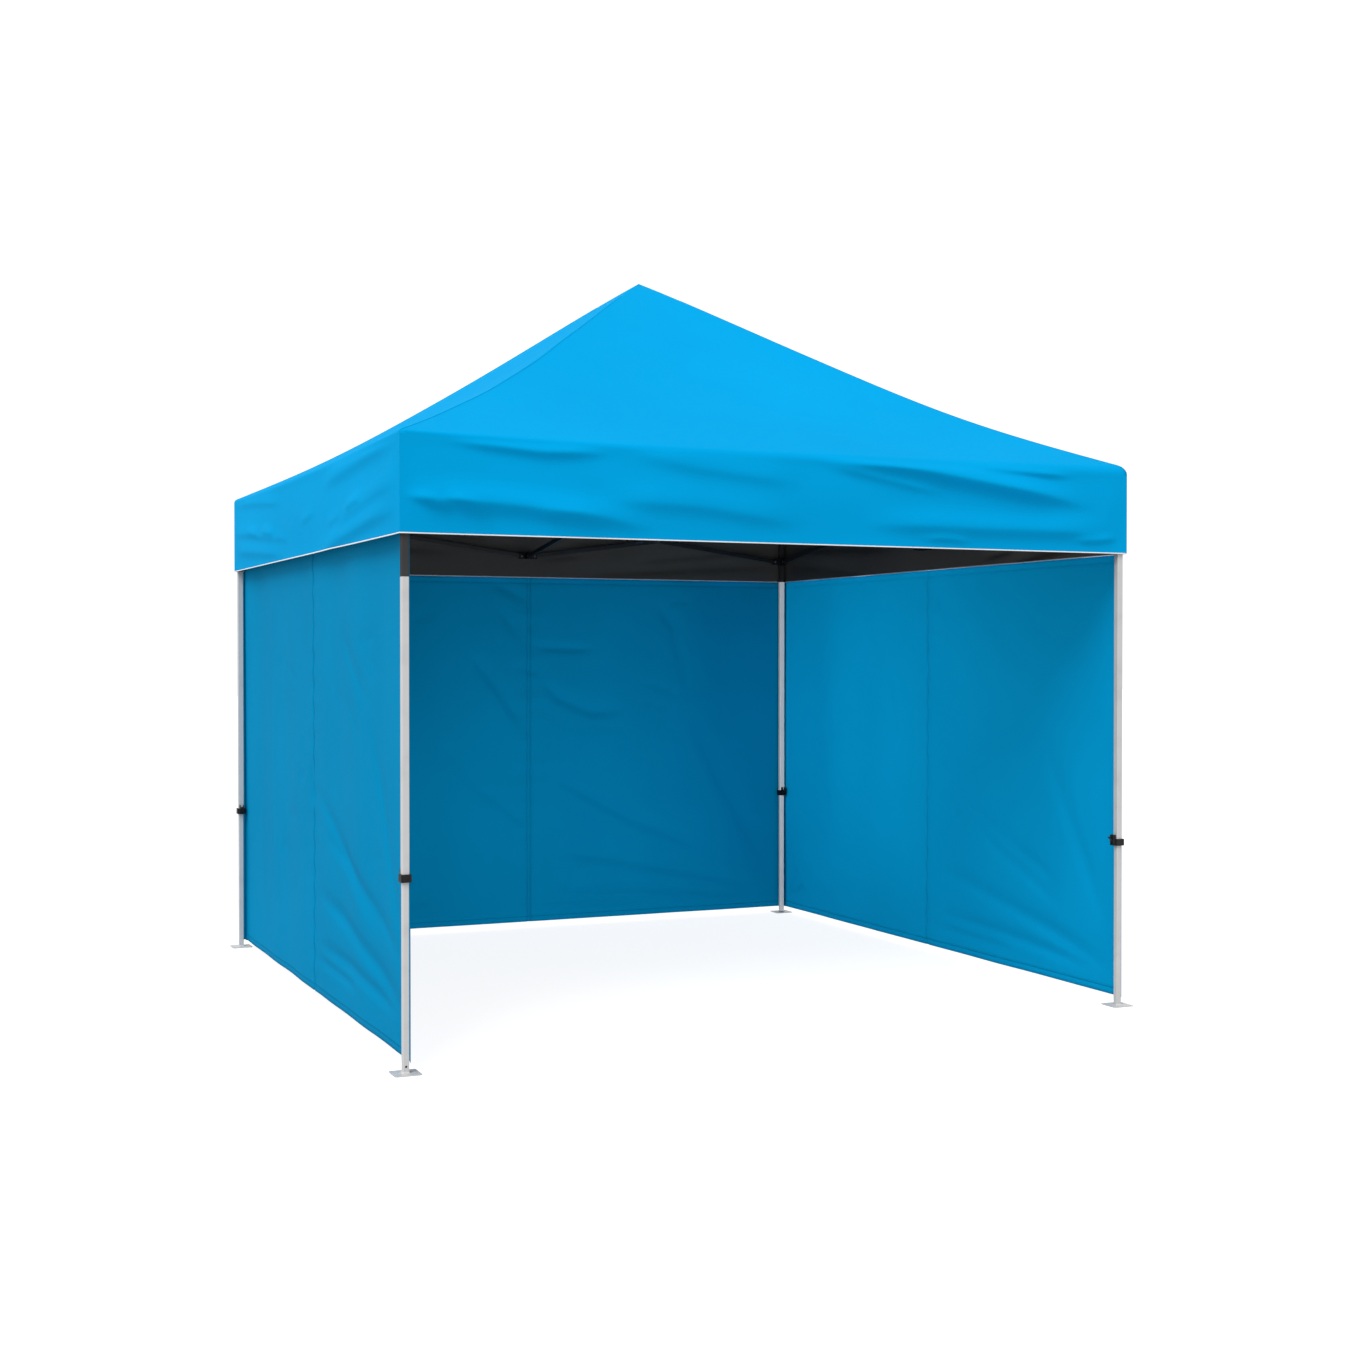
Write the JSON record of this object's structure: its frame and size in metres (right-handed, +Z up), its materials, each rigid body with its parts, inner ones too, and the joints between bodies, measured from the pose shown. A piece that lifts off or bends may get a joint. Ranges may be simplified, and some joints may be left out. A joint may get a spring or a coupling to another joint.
{
  "type": "pop up canopy",
  "caption": "Square pop up canopy: hollow pyramid fabric roof with a valance, folding scissor truss, telescoping legs with locks and foot plates, and walls on the left, back and right.",
  "frame": {"origin": "on the ground, at the middle of the four feet and of the whole part", "axes": "+Z up; +X to the right along the open front; +Y from the open front to the back wall"},
  "size_m": [3.035, 3.035, 3.049],
  "materials": {
    "silver_paint": "silver grey powder coat, satin",
    "charcoal_paint": "charcoal powder coat, satin",
    "black_nylon": "moulded glass filled nylon, fine grain",
    "canopy_fabric": "bright blue coated polyester, black lining underneath",
    "wall_fabric": "bright blue polyester, light enough to let daylight through"
  },
  "bodies": {
    "root": {"upper_hub": "black_nylon", "canopy_cover": "canopy_fabric", "side_walls": "wall_fabric"},
    "cross_down_front": {"cross_down_front": "charcoal_paint"},
    "cross_up_front": {"cross_up_front": "charcoal_paint"},
    "lower_mid_front": {"lower_mid_front": "black_nylon"},
    "upper_mid_front": {"upper_mid_front": "black_nylon"},
    "cross_down_right": {"cross_down_right": "charcoal_paint"},
    "cross_up_right": {"cross_up_right": "charcoal_paint"},
    "lower_mid_right": {"lower_mid_right": "black_nylon"},
    "upper_mid_right": {"upper_mid_right": "black_nylon"},
    "cross_down_back": {"cross_down_back": "charcoal_paint"},
    "cross_up_back": {"cross_up_back": "charcoal_paint"},
    "lower_mid_back": {"lower_mid_back": "black_nylon"},
    "upper_mid_back": {"upper_mid_back": "black_nylon"},
    "cross_down_left": {"cross_down_left": "charcoal_paint"},
    "cross_up_left": {"cross_up_left": "charcoal_paint"},
    "lower_mid_left": {"lower_mid_left": "black_nylon"},
    "upper_mid_left": {"upper_mid_left": "black_nylon"},
    "lower_hub": {"lower_hub_and_pole": "black_nylon"},
    "rail_up_front_front_left": {"rail_up_front_front_left": "charcoal_paint"},
    "rail_down_front_front_left": {"rail_down_front_front_left": "charcoal_paint"},
    "rail_up_front_front_right": {"rail_up_front_front_right": "charcoal_paint"},
    "rail_down_front_front_right": {"rail_down_front_front_right": "charcoal_paint"},
    "rail_up_right_front_right": {"rail_up_right_front_right": "charcoal_paint"},
    "rail_down_right_front_right": {"rail_down_right_front_right": "charcoal_paint"},
    "rail_up_right_back_right": {"rail_up_right_back_right": "charcoal_paint"},
    "rail_down_right_back_right": {"rail_down_right_back_right": "charcoal_paint"},
    "rail_up_back_back_right": {"rail_up_back_back_right": "charcoal_paint"},
    "rail_down_back_back_right": {"rail_down_back_back_right": "charcoal_paint"},
    "rail_up_back_back_left": {"rail_up_back_back_left": "charcoal_paint"},
    "rail_down_back_back_left": {"rail_down_back_back_left": "charcoal_paint"},
    "rail_up_left_back_left": {"rail_up_left_back_left": "charcoal_paint"},
    "rail_down_left_back_left": {"rail_down_left_back_left": "charcoal_paint"},
    "rail_up_left_front_left": {"rail_up_left_front_left": "charcoal_paint"},
    "rail_down_left_front_left": {"rail_down_left_front_left": "charcoal_paint"},
    "leg_front_left": {"outer_leg_front_left": "silver_paint", "top_bracket_front_left": "black_nylon", "leg_lock_front_left": "black_nylon"},
    "slider_front_left": {"slider_front_left": "black_nylon"},
    "inner_leg_front_left": {"inner_leg_front_left": "silver_paint"},
    "lock_lever_front_left": {"lock_lever_front_left": "black_nylon"},
    "leg_front_right": {"outer_leg_front_right": "silver_paint", "top_bracket_front_right": "black_nylon", "leg_lock_front_right": "black_nylon"},
    "slider_front_right": {"slider_front_right": "black_nylon"},
    "inner_leg_front_right": {"inner_leg_front_right": "silver_paint"},
    "lock_lever_front_right": {"lock_lever_front_right": "black_nylon"},
    "leg_back_right": {"outer_leg_back_right": "silver_paint", "top_bracket_back_right": "black_nylon", "leg_lock_back_right": "black_nylon"},
    "slider_back_right": {"slider_back_right": "black_nylon"},
    "inner_leg_back_right": {"inner_leg_back_right": "silver_paint"},
    "lock_lever_back_right": {"lock_lever_back_right": "black_nylon"},
    "leg_back_left": {"outer_leg_back_left": "silver_paint", "top_bracket_back_left": "black_nylon", "leg_lock_back_left": "black_nylon"},
    "slider_back_left": {"slider_back_left": "black_nylon"},
    "inner_leg_back_left": {"inner_leg_back_left": "silver_paint"},
    "lock_lever_back_left": {"lock_lever_back_left": "black_nylon"}
  },
  "joints": [
    {"name": "fold", "type": "hinge", "parent": "root", "child": "cross_down_front", "pos_m": [0, -0.045, 2.115], "axis": [1, 0, 0], "range_deg": [0, 78], "deforming": ["canopy_cover", "side_walls"]},
    {"name": "cross_front_pivot", "type": "hinge", "parent": "cross_down_front", "child": "cross_up_front", "pos_m": [0, -0.74, 2.02], "axis": [1, 0, 0], "range_deg": [-156, 0]},
    {"name": "lower_mid_front_turn", "type": "hinge", "parent": "cross_down_front", "child": "lower_mid_front", "pos_m": [0, -1.435, 1.925], "axis": [1, 0, 0], "range_deg": [-78, 0]},
    {"name": "upper_mid_front_turn", "type": "hinge", "parent": "cross_up_front", "child": "upper_mid_front", "pos_m": [0, -1.435, 2.115], "axis": [1, 0, 0], "range_deg": [0, 78]},
    {"name": "cross_down_right_turn", "type": "hinge", "parent": "root", "child": "cross_down_right", "pos_m": [0.045, 0, 2.115], "axis": [0, 1, 0], "range_deg": [0, 78]},
    {"name": "cross_right_pivot", "type": "hinge", "parent": "cross_down_right", "child": "cross_up_right", "pos_m": [0.74, 0, 2.02], "axis": [0, 1, 0], "range_deg": [-156, 0]},
    {"name": "lower_mid_right_turn", "type": "hinge", "parent": "cross_down_right", "child": "lower_mid_right", "pos_m": [1.435, 0, 1.925], "axis": [0, 1, 0], "range_deg": [-78, 0]},
    {"name": "upper_mid_right_turn", "type": "hinge", "parent": "cross_up_right", "child": "upper_mid_right", "pos_m": [1.435, 0, 2.115], "axis": [0, 1, 0], "range_deg": [0, 78]},
    {"name": "cross_down_back_turn", "type": "hinge", "parent": "root", "child": "cross_down_back", "pos_m": [0, 0.045, 2.115], "axis": [-1, 0, 0], "range_deg": [0, 78]},
    {"name": "cross_back_pivot", "type": "hinge", "parent": "cross_down_back", "child": "cross_up_back", "pos_m": [0, 0.74, 2.02], "axis": [-1, 0, 0], "range_deg": [-156, 0]},
    {"name": "lower_mid_back_turn", "type": "hinge", "parent": "cross_down_back", "child": "lower_mid_back", "pos_m": [0, 1.435, 1.925], "axis": [-1, 0, 0], "range_deg": [-78, 0]},
    {"name": "upper_mid_back_turn", "type": "hinge", "parent": "cross_up_back", "child": "upper_mid_back", "pos_m": [0, 1.435, 2.115], "axis": [-1, 0, 0], "range_deg": [0, 78]},
    {"name": "cross_down_left_turn", "type": "hinge", "parent": "root", "child": "cross_down_left", "pos_m": [-0.045, 0, 2.115], "axis": [0, -1, 0], "range_deg": [0, 78]},
    {"name": "cross_left_pivot", "type": "hinge", "parent": "cross_down_left", "child": "cross_up_left", "pos_m": [-0.74, 0, 2.02], "axis": [0, -1, 0], "range_deg": [-156, 0]},
    {"name": "lower_mid_left_turn", "type": "hinge", "parent": "cross_down_left", "child": "lower_mid_left", "pos_m": [-1.435, 0, 1.925], "axis": [0, -1, 0], "range_deg": [-78, 0]},
    {"name": "upper_mid_left_turn", "type": "hinge", "parent": "cross_up_left", "child": "upper_mid_left", "pos_m": [-1.435, 0, 2.115], "axis": [0, -1, 0], "range_deg": [0, 78]},
    {"name": "lower_hub_turn", "type": "hinge", "parent": "cross_up_front", "child": "lower_hub", "pos_m": [0, -0.045, 1.925], "axis": [1, 0, 0], "range_deg": [0, 78]},
    {"name": "rail_up_front_front_left_turn", "type": "hinge", "parent": "lower_mid_front", "child": "rail_up_front_front_left", "pos_m": [-0.035, -1.47, 1.925], "axis": [0, -1, 0], "range_deg": [-78, 0]},
    {"name": "rail_down_front_front_left_turn", "type": "hinge", "parent": "upper_mid_front", "child": "rail_down_front_front_left", "pos_m": [-0.035, -1.47, 2.115], "axis": [0, -1, 0], "range_deg": [0, 78]},
    {"name": "rail_up_front_front_right_turn", "type": "hinge", "parent": "lower_mid_front", "child": "rail_up_front_front_right", "pos_m": [0.035, -1.47, 1.925], "axis": [0, 1, 0], "range_deg": [-78, 0]},
    {"name": "rail_down_front_front_right_turn", "type": "hinge", "parent": "upper_mid_front", "child": "rail_down_front_front_right", "pos_m": [0.035, -1.47, 2.115], "axis": [0, 1, 0], "range_deg": [0, 78]},
    {"name": "rail_up_right_front_right_turn", "type": "hinge", "parent": "lower_mid_right", "child": "rail_up_right_front_right", "pos_m": [1.47, -0.035, 1.925], "axis": [1, 0, 0], "range_deg": [-78, 0]},
    {"name": "rail_down_right_front_right_turn", "type": "hinge", "parent": "upper_mid_right", "child": "rail_down_right_front_right", "pos_m": [1.47, -0.035, 2.115], "axis": [1, 0, 0], "range_deg": [0, 78]},
    {"name": "rail_up_right_back_right_turn", "type": "hinge", "parent": "lower_mid_right", "child": "rail_up_right_back_right", "pos_m": [1.47, 0.035, 1.925], "axis": [-1, 0, 0], "range_deg": [-78, 0]},
    {"name": "rail_down_right_back_right_turn", "type": "hinge", "parent": "upper_mid_right", "child": "rail_down_right_back_right", "pos_m": [1.47, 0.035, 2.115], "axis": [-1, 0, 0], "range_deg": [0, 78]},
    {"name": "rail_up_back_back_right_turn", "type": "hinge", "parent": "lower_mid_back", "child": "rail_up_back_back_right", "pos_m": [0.035, 1.47, 1.925], "axis": [0, 1, 0], "range_deg": [-78, 0]},
    {"name": "rail_down_back_back_right_turn", "type": "hinge", "parent": "upper_mid_back", "child": "rail_down_back_back_right", "pos_m": [0.035, 1.47, 2.115], "axis": [0, 1, 0], "range_deg": [0, 78]},
    {"name": "rail_up_back_back_left_turn", "type": "hinge", "parent": "lower_mid_back", "child": "rail_up_back_back_left", "pos_m": [-0.035, 1.47, 1.925], "axis": [0, -1, 0], "range_deg": [-78, 0]},
    {"name": "rail_down_back_back_left_turn", "type": "hinge", "parent": "upper_mid_back", "child": "rail_down_back_back_left", "pos_m": [-0.035, 1.47, 2.115], "axis": [0, -1, 0], "range_deg": [0, 78]},
    {"name": "rail_up_left_back_left_turn", "type": "hinge", "parent": "lower_mid_left", "child": "rail_up_left_back_left", "pos_m": [-1.47, 0.035, 1.925], "axis": [-1, 0, 0], "range_deg": [-78, 0]},
    {"name": "rail_down_left_back_left_turn", "type": "hinge", "parent": "upper_mid_left", "child": "rail_down_left_back_left", "pos_m": [-1.47, 0.035, 2.115], "axis": [-1, 0, 0], "range_deg": [0, 78]},
    {"name": "rail_up_left_front_left_turn", "type": "hinge", "parent": "lower_mid_left", "child": "rail_up_left_front_left", "pos_m": [-1.47, -0.035, 1.925], "axis": [1, 0, 0], "range_deg": [-78, 0]},
    {"name": "rail_down_left_front_left_turn", "type": "hinge", "parent": "upper_mid_left", "child": "rail_down_left_front_left", "pos_m": [-1.47, -0.035, 2.115], "axis": [1, 0, 0], "range_deg": [0, 78]},
    {"name": "leg_front_left_turn", "type": "hinge", "parent": "rail_up_front_front_left", "child": "leg_front_left", "pos_m": [-1.425, -1.47, 2.115], "axis": [0, -1, 0], "range_deg": [0, 78]},
    {"name": "slider_front_left_turn", "type": "hinge", "parent": "rail_down_front_front_left", "child": "slider_front_left", "pos_m": [-1.425, -1.47, 1.925], "axis": [0, -1, 0], "range_deg": [-78, 0]},
    {"name": "leg_front_left_height", "type": "slide", "parent": "leg_front_left", "child": "inner_leg_front_left", "axis": [0, 0, 1], "range_m": [0, 0.58]},
    {"name": "lock_lever_front_left_press", "type": "hinge", "parent": "leg_front_left", "child": "lock_lever_front_left", "pos_m": [-1.47, -1.4475, 0.658], "axis": [1, 0, 0], "range_deg": [0, 30], "stiffness_Nm_per_rad": 0.6, "springref_deg": -5.73},
    {"name": "leg_front_right_turn", "type": "hinge", "parent": "rail_up_front_front_right", "child": "leg_front_right", "pos_m": [1.425, -1.47, 2.115], "axis": [0, 1, 0], "range_deg": [0, 78]},
    {"name": "slider_front_right_turn", "type": "hinge", "parent": "rail_down_front_front_right", "child": "slider_front_right", "pos_m": [1.425, -1.47, 1.925], "axis": [0, 1, 0], "range_deg": [-78, 0]},
    {"name": "leg_front_right_height", "type": "slide", "parent": "leg_front_right", "child": "inner_leg_front_right", "axis": [0, 0, 1], "range_m": [0, 0.58]},
    {"name": "lock_lever_front_right_press", "type": "hinge", "parent": "leg_front_right", "child": "lock_lever_front_right", "pos_m": [1.4475, -1.47, 0.658], "axis": [0, 1, 0], "range_deg": [0, 30], "stiffness_Nm_per_rad": 0.6, "springref_deg": -5.73},
    {"name": "leg_back_right_turn", "type": "hinge", "parent": "rail_up_back_back_right", "child": "leg_back_right", "pos_m": [1.425, 1.47, 2.115], "axis": [0, 1, 0], "range_deg": [0, 78]},
    {"name": "slider_back_right_turn", "type": "hinge", "parent": "rail_down_back_back_right", "child": "slider_back_right", "pos_m": [1.425, 1.47, 1.925], "axis": [0, 1, 0], "range_deg": [-78, 0]},
    {"name": "leg_back_right_height", "type": "slide", "parent": "leg_back_right", "child": "inner_leg_back_right", "axis": [0, 0, 1], "range_m": [0, 0.58]},
    {"name": "lock_lever_back_right_press", "type": "hinge", "parent": "leg_back_right", "child": "lock_lever_back_right", "pos_m": [1.47, 1.4475, 0.658], "axis": [-1, 0, 0], "range_deg": [0, 30], "stiffness_Nm_per_rad": 0.6, "springref_deg": -5.73},
    {"name": "leg_back_left_turn", "type": "hinge", "parent": "rail_up_back_back_left", "child": "leg_back_left", "pos_m": [-1.425, 1.47, 2.115], "axis": [0, -1, 0], "range_deg": [0, 78]},
    {"name": "slider_back_left_turn", "type": "hinge", "parent": "rail_down_back_back_left", "child": "slider_back_left", "pos_m": [-1.425, 1.47, 1.925], "axis": [0, -1, 0], "range_deg": [-78, 0]},
    {"name": "leg_back_left_height", "type": "slide", "parent": "leg_back_left", "child": "inner_leg_back_left", "axis": [0, 0, 1], "range_m": [0, 0.58]},
    {"name": "lock_lever_back_left_press", "type": "hinge", "parent": "leg_back_left", "child": "lock_lever_back_left", "pos_m": [-1.47, 1.4475, 0.658], "axis": [-1, 0, 0], "range_deg": [0, 30], "stiffness_Nm_per_rad": 0.6, "springref_deg": -5.73}
  ],
  "couplings": [
    {"joint": "cross_front_pivot", "follows": "fold", "ratio": -2},
    {"joint": "lower_mid_front_turn", "follows": "fold", "ratio": -1},
    {"joint": "upper_mid_front_turn", "follows": "fold", "ratio": 1},
    {"joint": "cross_down_right_turn", "follows": "fold", "ratio": 1},
    {"joint": "cross_right_pivot", "follows": "fold", "ratio": -2},
    {"joint": "lower_mid_right_turn", "follows": "fold", "ratio": -1},
    {"joint": "upper_mid_right_turn", "follows": "fold", "ratio": 1},
    {"joint": "cross_down_back_turn", "follows": "fold", "ratio": 1},
    {"joint": "cross_back_pivot", "follows": "fold", "ratio": -2},
    {"joint": "lower_mid_back_turn", "follows": "fold", "ratio": -1},
    {"joint": "upper_mid_back_turn", "follows": "fold", "ratio": 1},
    {"joint": "cross_down_left_turn", "follows": "fold", "ratio": 1},
    {"joint": "cross_left_pivot", "follows": "fold", "ratio": -2},
    {"joint": "lower_mid_left_turn", "follows": "fold", "ratio": -1},
    {"joint": "upper_mid_left_turn", "follows": "fold", "ratio": 1},
    {"joint": "lower_hub_turn", "follows": "fold", "ratio": 1},
    {"joint": "rail_up_front_front_left_turn", "follows": "fold", "ratio": -1},
    {"joint": "rail_down_front_front_left_turn", "follows": "fold", "ratio": 1},
    {"joint": "rail_up_front_front_right_turn", "follows": "fold", "ratio": -1},
    {"joint": "rail_down_front_front_right_turn", "follows": "fold", "ratio": 1},
    {"joint": "rail_up_right_front_right_turn", "follows": "fold", "ratio": -1},
    {"joint": "rail_down_right_front_right_turn", "follows": "fold", "ratio": 1},
    {"joint": "rail_up_right_back_right_turn", "follows": "fold", "ratio": -1},
    {"joint": "rail_down_right_back_right_turn", "follows": "fold", "ratio": 1},
    {"joint": "rail_up_back_back_right_turn", "follows": "fold", "ratio": -1},
    {"joint": "rail_down_back_back_right_turn", "follows": "fold", "ratio": 1},
    {"joint": "rail_up_back_back_left_turn", "follows": "fold", "ratio": -1},
    {"joint": "rail_down_back_back_left_turn", "follows": "fold", "ratio": 1},
    {"joint": "rail_up_left_back_left_turn", "follows": "fold", "ratio": -1},
    {"joint": "rail_down_left_back_left_turn", "follows": "fold", "ratio": 1},
    {"joint": "rail_up_left_front_left_turn", "follows": "fold", "ratio": -1},
    {"joint": "rail_down_left_front_left_turn", "follows": "fold", "ratio": 1},
    {"joint": "leg_front_left_turn", "follows": "fold", "ratio": 1},
    {"joint": "slider_front_left_turn", "follows": "fold", "ratio": -1},
    {"joint": "leg_front_right_turn", "follows": "fold", "ratio": 1},
    {"joint": "slider_front_right_turn", "follows": "fold", "ratio": -1},
    {"joint": "leg_back_right_turn", "follows": "fold", "ratio": 1},
    {"joint": "slider_back_right_turn", "follows": "fold", "ratio": -1},
    {"joint": "leg_back_left_turn", "follows": "fold", "ratio": 1},
    {"joint": "slider_back_left_turn", "follows": "fold", "ratio": -1}
  ]
}
